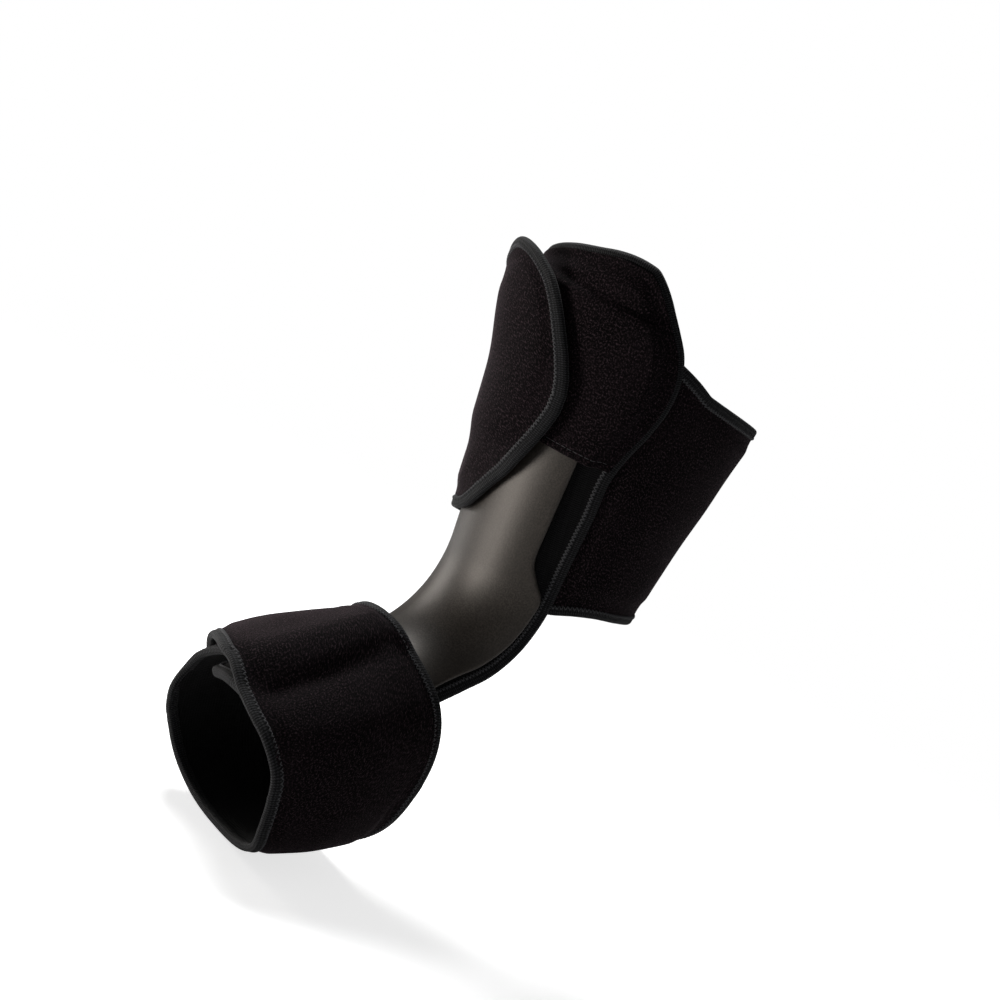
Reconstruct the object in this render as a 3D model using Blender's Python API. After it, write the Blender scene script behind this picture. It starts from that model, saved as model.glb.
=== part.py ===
# Dorsal night splint, closed as in wear: a rigid L-shaped shell on a padded liner, with a calf wrap and a foot wrap.
# Metres, +Z up along the shin end, the foot end towards -Y, the inner side of a right-hand splint towards +X.
# The origin is on the liner's inner face, at the middle of its bend.

from collections import namedtuple
from math import radians

import bmesh
import bpy
import numpy as np

# Overall sizes, measured along the liner's inner face
SHIN_LENGTH = 0.204          # bend to the top of the liner
FOOT_LENGTH = 0.122          # bend to the front rim of the foot wrap
BEND_RADIUS = 0.062
SHIN_LEAN = 9.0              # degrees that the shin end leans forward
INSTEP_SLOPE = 20.0          # degrees that the foot end falls towards the front
FOOT_TILT = 12.0             # degrees that the foot end's cross-sections lean forward

# The hollow that the splint closes round, at its calf end, its bend and its foot end
CALF_WIDTH = 0.116
CALF_DEPTH = 0.130
BEND_WIDTH = 0.076
BEND_DEPTH = 0.084
FOOT_WIDTH = 0.098
FOOT_HEIGHT = 0.078

# Walls and layers
GAP = 0.00035                # clearance between neighbouring pieces
SHELL_GAP = 0.0007           # clearance of the shell over the liner
LINER_THICKNESS = 0.0060
LINER_EDGE = 0.0042          # liner beside its binding
LINER_BINDING = 0.0050
SHELL_THICKNESS = 0.0026
COVER_THICKNESS = 0.0020
COVER_EDGE = 0.0010
WRAP_THICKNESS = 0.0046
WRAP_EDGE = 0.0030           # wrap beside its binding
WRAP_BINDING = 0.0038
WRAP_START = 0.0026          # wrap where it is sewn to the liner's edge
BINDING_WIDTH = 0.0052
BINDING_ROUND = 0.0009       # bevel along a binding's outer edges
EDGE_ROLL = 0.0080           # distance over which padding reaches its full thickness
HOOK_THICKNESS = 0.0012

# Heights of the layers over the hollow
SHELL_HEIGHT = LINER_THICKNESS + SHELL_GAP
COVER_HEIGHT = SHELL_HEIGHT + SHELL_THICKNESS + 1.6 * GAP
CALF_HOOK_HEIGHT = COVER_HEIGHT + COVER_THICKNESS + 1.4 * GAP
FLAP_HEIGHT = CALF_HOOK_HEIGHT + HOOK_THICKNESS + 1.4 * GAP
UNDER_HEIGHT = SHELL_HEIGHT + SHELL_THICKNESS + 2 * GAP
FOOT_HOOK_HEIGHT = UNDER_HEIGHT + WRAP_THICKNESS + 1.6 * GAP
UPPER_HEIGHT = FOOT_HOOK_HEIGHT + HOOK_THICKNESS + 2.6 * GAP

# Cross-sections of the hollow. Stations are shares of SHIN_LENGTH above the bend and of FOOT_LENGTH in front of it.
Section = namedtuple(
    "Section", "station inner_width outer_width front_depth back_depth inner_power outer_power back_power"
)
SECTIONS = [
    Section(-1.23, 0.47 * FOOT_WIDTH, 0.37 * FOOT_WIDTH, 0.49 * FOOT_HEIGHT, 0.27 * FOOT_HEIGHT, 2.4, 1.6, 2.4),
    Section(-0.90, 0.50 * FOOT_WIDTH, 0.44 * FOOT_WIDTH, 0.51 * FOOT_HEIGHT, 0.35 * FOOT_HEIGHT, 2.4, 1.75, 2.4),
    Section(-0.57, 0.48 * FOOT_WIDTH, 0.48 * FOOT_WIDTH, 0.56 * FOOT_HEIGHT, 0.43 * FOOT_HEIGHT, 2.4, 2.2, 2.3),
    Section(-0.25, 0.42 * FOOT_WIDTH, 0.42 * FOOT_WIDTH, 0.56 * FOOT_HEIGHT, 0.48 * FOOT_HEIGHT, 2.2, 2.2, 2.2),
    Section(0.05, 0.50 * BEND_WIDTH, 0.50 * BEND_WIDTH, 0.50 * BEND_DEPTH, 0.50 * BEND_DEPTH, 2.0, 2.0, 2.0),
    Section(0.245, 0.345 * CALF_WIDTH, 0.33 * CALF_WIDTH, 0.323 * CALF_DEPTH, 0.385 * CALF_DEPTH, 2.0, 2.0, 2.0),
    Section(0.54, 0.414 * CALF_WIDTH, 0.372 * CALF_WIDTH, 0.354 * CALF_DEPTH, 0.487 * CALF_DEPTH, 2.0, 2.0, 2.0),
    Section(0.785, 0.466 * CALF_WIDTH, 0.455 * CALF_WIDTH, 0.385 * CALF_DEPTH, 0.577 * CALF_DEPTH, 2.0, 2.0, 2.0),
    Section(1.03, 0.50 * CALF_WIDTH, 0.50 * CALF_WIDTH, 0.415 * CALF_DEPTH, 0.620 * CALF_DEPTH, 2.0, 2.0, 2.0),
]

# Outline of the liner: angles from the dorsal midline, negative on the outer side
LinerRow = namedtuple("LinerRow", "station outer_angle inner_angle")
LINER_ROWS = [
    LinerRow(-0.926, -14.0, 14.0),
    LinerRow(-0.914, -24.0, 24.0),
    LinerRow(-0.880, -34.0, 34.0),
    LinerRow(-0.800, -42.0, 42.0),
    LinerRow(-0.655, -45.5, 45.5),
    LinerRow(-0.490, -46.0, 46.0),
    LinerRow(-0.320, -46.0, 46.0),
    LinerRow(-0.160, -47.0, 47.0),
    LinerRow(-0.070, -49.5, 49.5),
    LinerRow(0.015, -54.0, 54.0),
    LinerRow(0.075, -57.0, 57.0),
    LinerRow(0.147, -58.5, 58.5),
    LinerRow(0.220, -59.0, 59.0),
    LinerRow(0.320, -59.5, 59.5),
    LinerRow(0.420, -59.5, 59.5),
    LinerRow(0.520, -58.5, 58.5),
    LinerRow(0.580, -60.0, 61.5),
    LinerRow(0.650, -63.0, 66.5),
    LinerRow(0.720, -65.0, 69.5),
    LinerRow(0.785, -64.0, 69.0),
    LinerRow(0.843, -60.0, 65.0),
    LinerRow(0.892, -48.0, 58.0),
    LinerRow(0.926, -34.0, 52.5),
    LinerRow(0.948, -20.0, 49.0),
    LinerRow(0.967, -6.0, 45.5),
    LinerRow(0.983, 8.0, 42.0),
    LinerRow(0.995, 18.0, 38.5),
    LinerRow(1.000, 25.0, 33.0),
]

# Outline of the shell: the same on both sides of the midline
ShellRow = namedtuple("ShellRow", "station half_angle")
SHELL_ROWS = [
    ShellRow(-0.860, 10.0),
    ShellRow(-0.850, 19.0),
    ShellRow(-0.820, 27.0),
    ShellRow(-0.750, 33.5),
    ShellRow(-0.620, 37.0),
    ShellRow(-0.450, 38.0),
    ShellRow(-0.280, 38.0),
    ShellRow(-0.150, 38.5),
    ShellRow(-0.070, 40.5),
    ShellRow(0.015, 45.0),
    ShellRow(0.078, 48.5),
    ShellRow(0.118, 49.7),
    ShellRow(0.157, 50.5),
    ShellRow(0.196, 50.5),
    ShellRow(0.235, 44.0),
    ShellRow(0.275, 39.3),
    ShellRow(0.350, 39.0),
    ShellRow(0.440, 39.0),
    ShellRow(0.540, 39.0),
    ShellRow(0.640, 38.8),
    ShellRow(0.710, 37.5),
    ShellRow(0.770, 34.0),
    ShellRow(0.815, 29.0),
    ShellRow(0.848, 21.0),
    ShellRow(0.860, 10.0),
]

# Calf wrap: its angle starts at the liner's inner edge and grows round the back to the free end on the front.
# Rise 0 lies on the hollow and 1 over the hook patch: below the shin cover's hem, over the cover and at the top.
CalfRow = namedtuple("CalfRow", "angle low high low_rise rise high_rise")
CALF_ROWS = [
    CalfRow(60.0, 0.172, 0.828, 0.0, 0.0, 0.0),
    CalfRow(75.0, 0.188, 0.808, 0.0, 0.0, 0.0),
    CalfRow(90.0, 0.196, 0.787, 0.0, 0.0, 0.0),
    CalfRow(110.0, 0.198, 0.765, 0.0, 0.0, 0.0),
    CalfRow(140.0, 0.196, 0.740, 0.0, 0.0, 0.0),
    CalfRow(180.0, 0.196, 0.726, 0.0, 0.0, 0.0),
    CalfRow(220.0, 0.200, 0.737, 0.0, 0.0, 0.0),
    CalfRow(250.0, 0.208, 0.757, 0.0, 0.0, 0.0),
    CalfRow(272.0, 0.220, 0.778, 0.04, 0.05, 0.10),
    CalfRow(282.0, 0.228, 0.790, 0.14, 0.20, 0.32),
    CalfRow(291.0, 0.236, 0.803, 0.30, 0.42, 0.60),
    CalfRow(300.0, 0.245, 0.820, 0.48, 0.64, 0.88),
    CalfRow(310.0, 0.255, 0.848, 0.60, 0.87, 1.14),
    CalfRow(318.0, 0.264, 0.878, 0.74, 0.93, 1.27),
    CalfRow(326.0, 0.273, 0.911, 0.76, 0.97, 1.31),
    CalfRow(334.0, 0.282, 0.933, 0.78, 1.0, 1.28),
    CalfRow(343.0, 0.292, 0.934, 0.76, 1.0, 1.20),
    CalfRow(350.0, 0.309, 0.924, 0.76, 1.0, 1.12),
    CalfRow(357.0, 0.342, 0.905, 0.76, 1.0, 1.05),
    CalfRow(362.0, 0.372, 0.887, 0.78, 1.0, 1.02),
    CalfRow(367.0, 0.404, 0.859, 0.80, 1.0, 1.0),
    CalfRow(371.0, 0.430, 0.831, 0.84, 1.0, 1.0),
    CalfRow(375.0, 0.463, 0.798, 0.88, 1.0, 1.0),
    CalfRow(379.0, 0.505, 0.762, 0.94, 1.0, 1.0),
    CalfRow(382.5, 0.550, 0.725, 1.0, 1.0, 1.0),
    CalfRow(385.0, 0.590, 0.692, 1.0, 1.0, 1.0),
    CalfRow(386.4, 0.622, 0.662, 1.0, 1.0, 1.0),
]
CALF_FREE_END = 326.0        # where its outline starts to round off
SETTLE_START = 0.0040        # distance below the hem at which the flap starts to settle
SETTLE_LENGTH = 0.0200       # distance over which it settles
FLARE_START = 0.62           # station above which its outer side stands off
FLARE_END = 0.90

# Foot wrap: its angle starts on the front and falls round the outer side and the back to the free end on the front.
# Rise 0 lies on the hollow, 1 over the shell and 2 over the hook patch on the wrap's own start.
FootRow = namedtuple("FootRow", "angle low high rise")
FOOT_ROWS = [
    FootRow(-2.0, -0.890, -0.210, 1.0),
    FootRow(-12.0, -0.885, -0.212, 1.0),
    FootRow(-35.0, -0.880, -0.225, 1.0),
    FootRow(-44.0, -0.885, -0.232, 0.99),
    FootRow(-54.0, -0.895, -0.240, 0.79),
    FootRow(-64.0, -0.925, -0.248, 0.50),
    FootRow(-80.0, -0.925, -0.262, 0.14),
    FootRow(-100.0, -0.890, -0.285, 0.0),
    FootRow(-140.0, -0.850, -0.320, 0.0),
    FootRow(-180.0, -0.850, -0.335, 0.0),
    FootRow(-225.0, -0.895, -0.325, 0.0),
    FootRow(-262.0, -0.940, -0.278, 0.0),
    FootRow(-280.0, -0.940, -0.236, 0.14),
    FootRow(-296.0, -0.945, -0.214, 0.50),
    FootRow(-306.0, -0.965, -0.205, 0.79),
    FootRow(-316.0, -0.985, -0.198, 1.0),
    FootRow(-325.0, -0.998, -0.192, 1.02),
    FootRow(-336.0, -1.000, -0.186, 1.04),
    FootRow(-343.0, -0.998, -0.180, 1.16),
    FootRow(-350.0, -0.992, -0.174, 1.62),
    FootRow(-356.0, -0.982, -0.168, 1.90),
    FootRow(-364.0, -0.972, -0.164, 2.0),
    FootRow(-378.0, -0.925, -0.160, 2.0),
    FootRow(-396.0, -0.840, -0.162, 2.0),
    FootRow(-404.0, -0.805, -0.168, 1.9),
    FootRow(-414.0, -0.765, -0.180, 1.62),
    FootRow(-422.0, -0.735, -0.205, 1.30),
    FootRow(-429.0, -0.700, -0.240, 1.02),
    FootRow(-433.0, -0.655, -0.280, 0.90),
    FootRow(-435.3, -0.600, -0.335, 0.85),
    FootRow(-436.0, -0.545, -0.390, 0.84),
]
FOOT_FREE_END = -396.0       # where its outline starts to round off

# Brushed cover over the top of the shell
COVER_HEM = 0.535            # station of its lower hem
COVER_SADDLE = 0.105         # share of its width at which it has come up to lie over the shell
COVER_FALL = 0.050           # share of its width over which it comes up

# Hook fastener patches under the two free ends: angles and stations that they span
CALF_HOOK = dict(angles=(-24.0, 12.0), stations=(0.52, 0.76))
FOOT_HOOK = dict(angles=(-36.0, -12.0), stations=(-0.74, -0.34))

# Spacing of the faceted walls, shared by the pieces that lie on each other
BEND_STEP = 0.0080
STRAIGHT_STEP = 0.0160
ANGLE_STEP = 12.0
LINER_COLUMNS = 13
SHELL_COLUMNS = 11
COVER_COLUMNS = 11
CALF_MIDDLES = 6
FOOT_MIDDLES = 4
START_CLEARANCE = 5.0        # degrees between the liner's edge and the start of the calf wrap's binding
SLOPE_STEP = 0.5             # degrees, for the surface's slope
SLOPE_LENGTH = 0.0005        # metres, for the surface's slope
MERGE = 0.000001             # metres, for closing a bead's seam


# Tables

def column(rows, name):
    return np.array([getattr(row, name) for row in rows])


def smooth_through(knots, values, at):
    # A smooth curve through a table's values
    slopes = np.gradient(values, knots)
    at = np.clip(at, knots[0], knots[-1])
    cell = np.clip(np.searchsorted(knots, at) - 1, 0, len(knots) - 2)
    span = knots[cell + 1] - knots[cell]
    t = (at - knots[cell]) / span
    return (
        (2 * t**3 - 3 * t**2 + 1) * values[cell]
        + (t**3 - 2 * t**2 + t) * span * slopes[cell]
        + (3 * t**2 - 2 * t**3) * values[cell + 1]
        + (t**3 - t**2) * span * slopes[cell + 1]
    )


def ladder(low, high, own, step_near, step_far, near):
    # Shared grid values between low and high, with a table's own values outside them
    rungs = np.concatenate([np.arange(-near, near, step_near), np.arange(near, 9 * near, step_far)])
    rungs = np.unique(np.concatenate([rungs, -np.arange(near, 9 * near, step_far)]).round(9))
    inside = rungs[(rungs > low) & (rungs < high)]
    return np.unique(np.concatenate([own[own <= low], inside, own[own >= high]]))


def reach(station):
    # Distance along the dorsal midline from the ankle bend
    station = np.asarray(station, float)
    return station * np.where(station > 0, SHIN_LENGTH, FOOT_LENGTH)


# The surface of the hollow

SECTION_REACH = reach(column(SECTIONS, "station"))


def section_value(name, along):
    return smooth_through(SECTION_REACH, column(SECTIONS, name), along)


def midline(along):
    # Points (y, z) of the dorsal midline and the direction in which each cross-section faces the front
    shin = radians(90 + SHIN_LEAN)
    foot = radians(INSTEP_SLOPE)
    half_arc = BEND_RADIUS * (shin - foot) / 2
    in_bend = np.clip(along, -half_arc, half_arc)
    middle = (shin + foot) / 2
    heading = middle + in_bend / BEND_RADIUS
    centre = BEND_RADIUS * np.array([-np.sin(middle), np.cos(middle)])
    point = centre - BEND_RADIUS * np.stack([-np.sin(heading), np.cos(heading)], -1)
    point = point + (along - in_bend)[..., None] * np.stack([np.cos(heading), np.sin(heading)], -1)
    tilt = radians(FOOT_TILT) + (in_bend + half_arc) / (2 * half_arc) * radians(90 - FOOT_TILT)
    return point, np.stack([-np.sin(tilt), np.cos(tilt)], -1)


def skin(along, angle):
    # Points on the hollow's surface, at a distance along the midline and an angle round from it
    along, angle = np.broadcast_arrays(np.asarray(along, float), np.asarray(angle, float))
    point, facing = midline(along)
    cosine = np.cos(np.radians(angle))
    sine = np.sin(np.radians(angle))
    width = np.where(sine < 0, section_value("outer_width", along), section_value("inner_width", along))
    front_power = np.where(sine < 0, section_value("outer_power", along), section_value("inner_power", along))
    front = section_value("front_depth", along)
    depth = np.where(cosine < 0, section_value("back_depth", along), front)
    power = 2 / np.where(cosine < 0, section_value("back_power", along), front_power)
    across = width * np.sign(sine) * np.abs(sine) ** power
    out = depth * np.sign(cosine) * np.abs(cosine) ** power - front
    return np.stack([across, point[..., 0] + facing[..., 0] * out, point[..., 1] + facing[..., 1] * out], -1)


def slopes(along, angle):
    # How a point on the surface moves per metre along it and per degree round it
    lengthwise = skin(along + SLOPE_LENGTH, angle) - skin(along - SLOPE_LENGTH, angle)
    roundwise = skin(along, angle + SLOPE_STEP) - skin(along, angle - SLOPE_STEP)
    return lengthwise / (2 * SLOPE_LENGTH), roundwise / (2 * SLOPE_STEP)


def above_skin(along, angle, height):
    # Points at a height above the surface, square to it
    along, angle, height = np.broadcast_arrays(
        np.asarray(along, float), np.asarray(angle, float), np.asarray(height, float)
    )
    lengthwise, roundwise = slopes(along, angle)
    normal = np.cross(roundwise, lengthwise)
    normal /= np.linalg.norm(normal, axis=-1, keepdims=True)
    return skin(along, angle) + height[..., None] * normal


def inset(along, angle, distance, closed):
    # A path moved inwards over the surface; the path runs anticlockwise seen from outside
    if closed:
        ahead, behind = np.roll(np.arange(len(along)), -1), np.roll(np.arange(len(along)), 1)
    else:
        ahead = np.minimum(np.arange(len(along)) + 1, len(along) - 1)
        behind = np.maximum(np.arange(len(along)) - 1, 0)
    step_along = along[ahead] - along[behind]
    step_angle = angle[ahead] - angle[behind]
    lengthwise, roundwise = slopes(along, angle)
    long_long = (lengthwise**2).sum(-1)
    long_round = (lengthwise * roundwise).sum(-1)
    round_round = (roundwise**2).sum(-1)
    in_along = step_along * long_round + step_angle * round_round
    in_angle = -(step_along * long_long + step_angle * long_round)
    size = np.sqrt(
        long_long * in_along**2 + 2 * long_round * in_along * in_angle + round_round * in_angle**2
    )
    return along + in_along / size * distance, angle + in_angle / size * distance


def distance_to(along, angle, path_along, path_angle):
    # Rough distance over the surface from points to a path
    def flat(a, g):
        return np.stack([a, np.radians(g) * section_value("inner_width", a)], -1)

    points = flat(along, angle)[..., None, :]
    path = flat(path_along, path_angle)
    start, run = path[:-1], path[1:] - path[:-1]
    share = ((points - start) * run).sum(-1) / np.maximum((run**2).sum(-1), 1e-12)
    nearest = start + np.clip(share, 0, 1)[..., None] * run
    return np.linalg.norm(points - nearest, axis=-1).min(-1)


def ease(share):
    share = np.clip(share, 0, 1)
    return share * share * (3 - 2 * share)


def padding(distance, edge, full):
    # Thickness of a padded panel at a distance from its bound edge
    return edge + (full - edge) * ease((distance - BINDING_WIDTH - GAP) / EDGE_ROLL)


# Outlines

def front_stations(rows, first, last):
    # Stations of a front piece: its table's own near its rounded ends, shared ones between those
    own = reach(column(rows, "station"))
    return ladder(own[first], own[last], own, BEND_STEP, STRAIGHT_STEP, 6 * BEND_STEP)


def outline_angle(rows, name, along):
    return smooth_through(reach(column(rows, "station")), column(rows, name), along)


def liner_edges():
    along = front_stations(LINER_ROWS, 5, 19)
    return along, outline_angle(LINER_ROWS, "outer_angle", along), outline_angle(LINER_ROWS, "inner_angle", along)


def liner_path():
    along, outer, inner = liner_edges()
    return np.concatenate([along, along[::-1]]), np.concatenate([inner, outer[::-1]])


def closed_path(along, angle):
    return np.append(along, along[0]), np.append(angle, angle[0])


def wrap_edges(rows, free_end):
    own = column(rows, "angle")
    turn = np.sign(own[-1] - own[0])
    free = own[turn * own >= turn * free_end]
    shared = ANGLE_STEP * np.arange(-40, 41)
    between = shared[(turn * shared > turn * own[0] + 3) & (turn * shared < turn * free_end - 3)]
    angle = np.concatenate([own[:1], between[::int(turn)], free])
    low, high = (wrap_value(rows, name, angle) for name in ("low", "high"))
    return angle, reach(low), reach(high)


def wrap_value(rows, name, angle):
    own = column(rows, "angle")
    turn = np.sign(own[-1] - own[0])
    return smooth_through(turn * own, column(rows, name), turn * angle)


def calf_height(along, angle):
    # Height of the calf wrap's inner face: it settles where it has passed the shin cover's hem
    low_rise, rise, high_rise = (wrap_value(CALF_ROWS, name, angle) for name in CalfRow._fields[3:])
    over_cover = ease((along - reach(COVER_HEM) + SETTLE_START + SETTLE_LENGTH) / SETTLE_LENGTH)
    flared = ease((along - reach(FLARE_START)) / (reach(FLARE_END) - reach(FLARE_START)))
    share = low_rise + (rise - low_rise) * over_cover + (high_rise - rise) * flared
    return GAP + (FLAP_HEIGHT - GAP) * share


def foot_height(angle):
    # Height of the foot wrap's inner face
    return np.interp(wrap_value(FOOT_ROWS, "rise", angle), [0, 1, 2], [GAP, UNDER_HEIGHT, UPPER_HEIGHT])


def beside_liner(along):
    # Angle just outside the liner's inner edge
    liner_along, _, inner = liner_edges()
    return np.interp(along, liner_along, inner) + np.degrees(3 * GAP / section_value("inner_width", along))


def settled(along, angle):
    # Angles near the calf wrap's start moved so that its first edge follows the liner's
    first, settle = CALF_ROWS[0].angle, CALF_ROWS[2].angle
    start = beside_liner(along)
    return np.where(angle < settle, start + (angle - first) * (settle - start) / (settle - first), angle)


def liner_heights(along, angle):
    thickness = padding(distance_to(along, angle, *closed_path(*liner_path())), LINER_EDGE, LINER_THICKNESS)
    squeeze = (LINER_THICKNESS - thickness) / (LINER_THICKNESS - LINER_EDGE)
    inner = (LINER_BINDING - LINER_EDGE) / 2 * squeeze
    return inner, inner + thickness


# Mesh builders

def make_object(name, bm, material):
    bmesh.ops.recalc_face_normals(bm, faces=bm.faces)
    mesh = bpy.data.meshes.new(name)
    bm.to_mesh(mesh)
    bm.free()
    mesh.materials.append(material)
    mesh.shade_smooth()
    mesh.set_sharp_from_angle(angle=radians(40))
    piece = bpy.data.objects.new(name, mesh)
    bpy.context.scene.collection.objects.link(piece)
    return piece


def shape_grid(bm, points):
    # A grid of faces laid over rows of points
    rows, columns = points.shape[:2]
    made = bmesh.ops.create_grid(bm, x_segments=columns - 1, y_segments=rows - 1, size=1)
    for vert, point in zip(made["verts"], points.reshape(-1, 3)):
        vert.co = point


def walled_sheet(name, along, angle, inner, outer, material):
    # A closed wall between two heights over a grid of places on the surface
    bm = bmesh.new()
    shape_grid(bm, above_skin(along, angle, inner))
    place = bm.verts.layers.int.new("place")
    for index, vert in enumerate(bm.verts):
        vert[place] = index
    extruded = bmesh.ops.extrude_face_region(bm, geom=bm.faces[:])
    top = above_skin(along, angle, outer).reshape(-1, 3)
    for vert in (part for part in extruded["geom"] if isinstance(part, bmesh.types.BMVert)):
        vert.co = top[vert[place]]
    return make_object(name, bm, material)


def bound_edge(name, along, angle, bottom, top, closed, material):
    # The tape that binds a panel's edge: a bead swept along the edge, between two heights
    bead = [
        (BINDING_WIDTH, top), (BINDING_ROUND, top), (0, top - BINDING_ROUND),
        (0, bottom + BINDING_ROUND), (BINDING_ROUND, bottom), (BINDING_WIDTH, bottom), (BINDING_WIDTH, top),
    ]
    lines = [above_skin(*inset(along, angle, depth, closed), height) for depth, height in bead]
    if closed:
        lines = [np.concatenate([line, line[:1]]) for line in lines]
    bm = bmesh.new()
    shape_grid(bm, np.stack(lines, axis=1))
    bmesh.ops.remove_doubles(bm, verts=bm.verts, dist=MERGE)
    bmesh.ops.holes_fill(bm, edges=[edge for edge in bm.edges if edge.is_boundary])
    return make_object(name, bm, material)


def make_material(name, color, roughness):
    material = bpy.data.materials.new(name)
    material.use_nodes = True
    shader = material.node_tree.nodes["Principled BSDF"]
    shader.inputs["Base Color"].default_value = (*color, 1)
    shader.inputs["Roughness"].default_value = roughness
    shader.inputs["Metallic"].default_value = 0.0
    return material


# Pieces

PANEL_INSET = BINDING_WIDTH + 2 * GAP


def between_edges(first, second, shares):
    # A grid of places between two edges, given as (along, angle) lists of the same length
    along = first[0][:, None] + (second[0] - first[0])[:, None] * shares
    angle = first[1][:, None] + (second[1] - first[1])[:, None] * shares
    return along, angle


def halves(along, angle, count=None):
    # The two edges of a path that runs along one and back along the other
    count = len(along) // 2 if count is None else count
    return (along[:count], angle[:count]), (along[:-count - 1:-1], angle[:-count - 1:-1])


def make_liner(material):
    inner_edge, outer_edge = halves(*inset(*liner_path(), PANEL_INSET, True))
    along, angle = between_edges(outer_edge, inner_edge, np.linspace(0, 1, LINER_COLUMNS))
    return walled_sheet("liner", along, angle, *liner_heights(along, angle), material)


def make_liner_binding(material):
    along, angle = liner_path()
    return bound_edge("liner_binding", along, angle, 0.0, LINER_BINDING, True, material)


def make_shell(material):
    stations = front_stations(SHELL_ROWS, 4, 21)
    half = outline_angle(SHELL_ROWS, "half_angle", stations)
    along, angle = between_edges((stations, -half), (stations, half), np.linspace(0, 1, SHELL_COLUMNS))
    bottom = np.full(along.shape, SHELL_HEIGHT)
    return walled_sheet("shell", along, angle, bottom, bottom + SHELL_THICKNESS, material)


def cover_heights(along, angle, share, edge_distance):
    shell_end = reach(SHELL_ROWS[-1].station)
    saddle = ease((np.minimum(share, 1 - share) - COVER_SADDLE + COVER_FALL) / COVER_FALL)
    saddle = saddle * ease((shell_end + EDGE_ROLL - along) / (EDGE_ROLL / 2))
    _, liner_top = liner_heights(along, angle)
    beside = liner_top + 1.6 * GAP
    inner = beside + (COVER_HEIGHT - beside) * saddle
    thickness = COVER_EDGE + (COVER_THICKNESS - COVER_EDGE) * ease(edge_distance / EDGE_ROLL)
    return inner, inner + thickness


def make_cover(material):
    hem = reach(COVER_HEM)
    edges = []
    for along, angle in halves(*inset(*liner_path(), PANEL_INSET + GAP, True)):
        kept = along > hem + BEND_STEP / 2
        edges.append((np.append(hem, along[kept]), np.append(np.interp(hem, along, angle), angle[kept])))
    inner_edge, outer_edge = edges
    rise = [0, COVER_SADDLE - COVER_FALL]
    shares = np.concatenate([rise, np.linspace(COVER_SADDLE, 1 - COVER_SADDLE, COVER_COLUMNS), 1 - np.array(rise[::-1])])
    along, angle = between_edges(outer_edge, inner_edge, shares)
    rim = [np.concatenate([a, b[::-1]]) for a, b in zip(inner_edge, outer_edge)]
    from_rim = distance_to(along, angle, *closed_path(*rim))
    inner, outer = cover_heights(along, angle, shares, from_rim)
    return walled_sheet("shin_cover", along, angle, inner, outer, material)


def band_shares(width, middles):
    # Places across a band: close together in its edges, even in its middle
    rolls = np.minimum(EDGE_ROLL * np.array([0, 0.5, 1]), width[..., None] * np.array([0, 0.14, 0.28]))
    between = np.arange(1, middles + 1) / (middles + 1)
    middle = rolls[..., -1:] + (width[..., None] - 2 * rolls[..., -1:]) * between
    return np.concatenate([rolls, middle, width[..., None] - rolls[..., ::-1]], axis=-1) / width[..., None]


def band_path(angle, first, second, middles):
    # The rim of a band: along one edge, across its free end and back along the other edge
    tip = band_shares(np.abs(second[-1] - first[-1]), middles)[1:-1]
    along = np.concatenate([first, first[-1] + (second[-1] - first[-1]) * tip, second[::-1]])
    return along, np.concatenate([angle, np.full(len(tip), angle[-1]), angle[::-1]])


def make_calf_wrap(material, binding_material):
    angle, low, high = wrap_edges(CALF_ROWS, CALF_FREE_END)
    path_along, unsettled = band_path(angle, low, high, CALF_MIDDLES)
    path_angle = settled(path_along, unsettled)
    at_start = path_angle < CALF_ROWS[1].angle
    clear = np.where(path_along > reach(0.5), START_CLEARANCE, START_CLEARANCE / 2)
    bottom = calf_height(path_along, path_angle)
    bound_edge("calf_wrap_binding", path_along, path_angle + at_start * clear, bottom, bottom + WRAP_BINDING,
               False, binding_material)
    low_edge, high_edge = halves(*inset(path_along, path_angle, PANEL_INSET, False), len(angle))
    along, round_angle = between_edges(low_edge, high_edge, band_shares(high - low, CALF_MIDDLES))
    back = (beside_liner(along[0]) - round_angle[0]) / (round_angle[1] - round_angle[0])
    along[0] += (along[1] - along[0]) * back
    round_angle[0] = beside_liner(along[0])
    from_start = np.radians(round_angle - beside_liner(along)) * BEND_WIDTH / 2
    sewn = 1 - ease(from_start / EDGE_ROLL)
    thickness = padding(distance_to(along, round_angle, path_along, path_angle), WRAP_EDGE, WRAP_THICKNESS)
    thickness = thickness + (np.minimum(WRAP_START, thickness) - thickness) * sewn
    inner = calf_height(along, round_angle) + np.clip(WRAP_BINDING - thickness, 0, None) / 2 * (1 - sewn)
    return walled_sheet("calf_wrap", along, round_angle, inner, inner + thickness, material)


def make_foot_wrap(material, binding_material):
    angle, low, high = wrap_edges(FOOT_ROWS, FOOT_FREE_END)
    path_along, path_angle = band_path(angle, high, low, FOOT_MIDDLES)
    bottom = foot_height(path_angle)
    bound_edge("foot_wrap_binding", path_along, path_angle, bottom, bottom + WRAP_BINDING, False,
               binding_material)
    high_edge, low_edge = halves(*inset(path_along, path_angle, PANEL_INSET, False), len(angle))
    along, round_angle = between_edges(low_edge, high_edge, band_shares(high - low, FOOT_MIDDLES))
    thickness = padding(distance_to(along, round_angle, path_along, path_angle), WRAP_EDGE, WRAP_THICKNESS)
    inner = foot_height(angle)[:, None] + np.clip(WRAP_BINDING - thickness, 0, None) / 2
    return walled_sheet("foot_wrap", along, round_angle, inner, inner + thickness, material)


def make_hook_patch(name, place, base, material):
    along = np.linspace(*reach(place["stations"]), 4)
    angle = np.arange(place["angles"][0], place["angles"][1] + 1, ANGLE_STEP)
    grid_along, grid_angle = np.meshgrid(along, angle, indexing="ij")
    bottom = np.full(grid_along.shape, base)
    return walled_sheet(name, grid_along, grid_angle, bottom, bottom + HOOK_THICKNESS, material)


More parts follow.
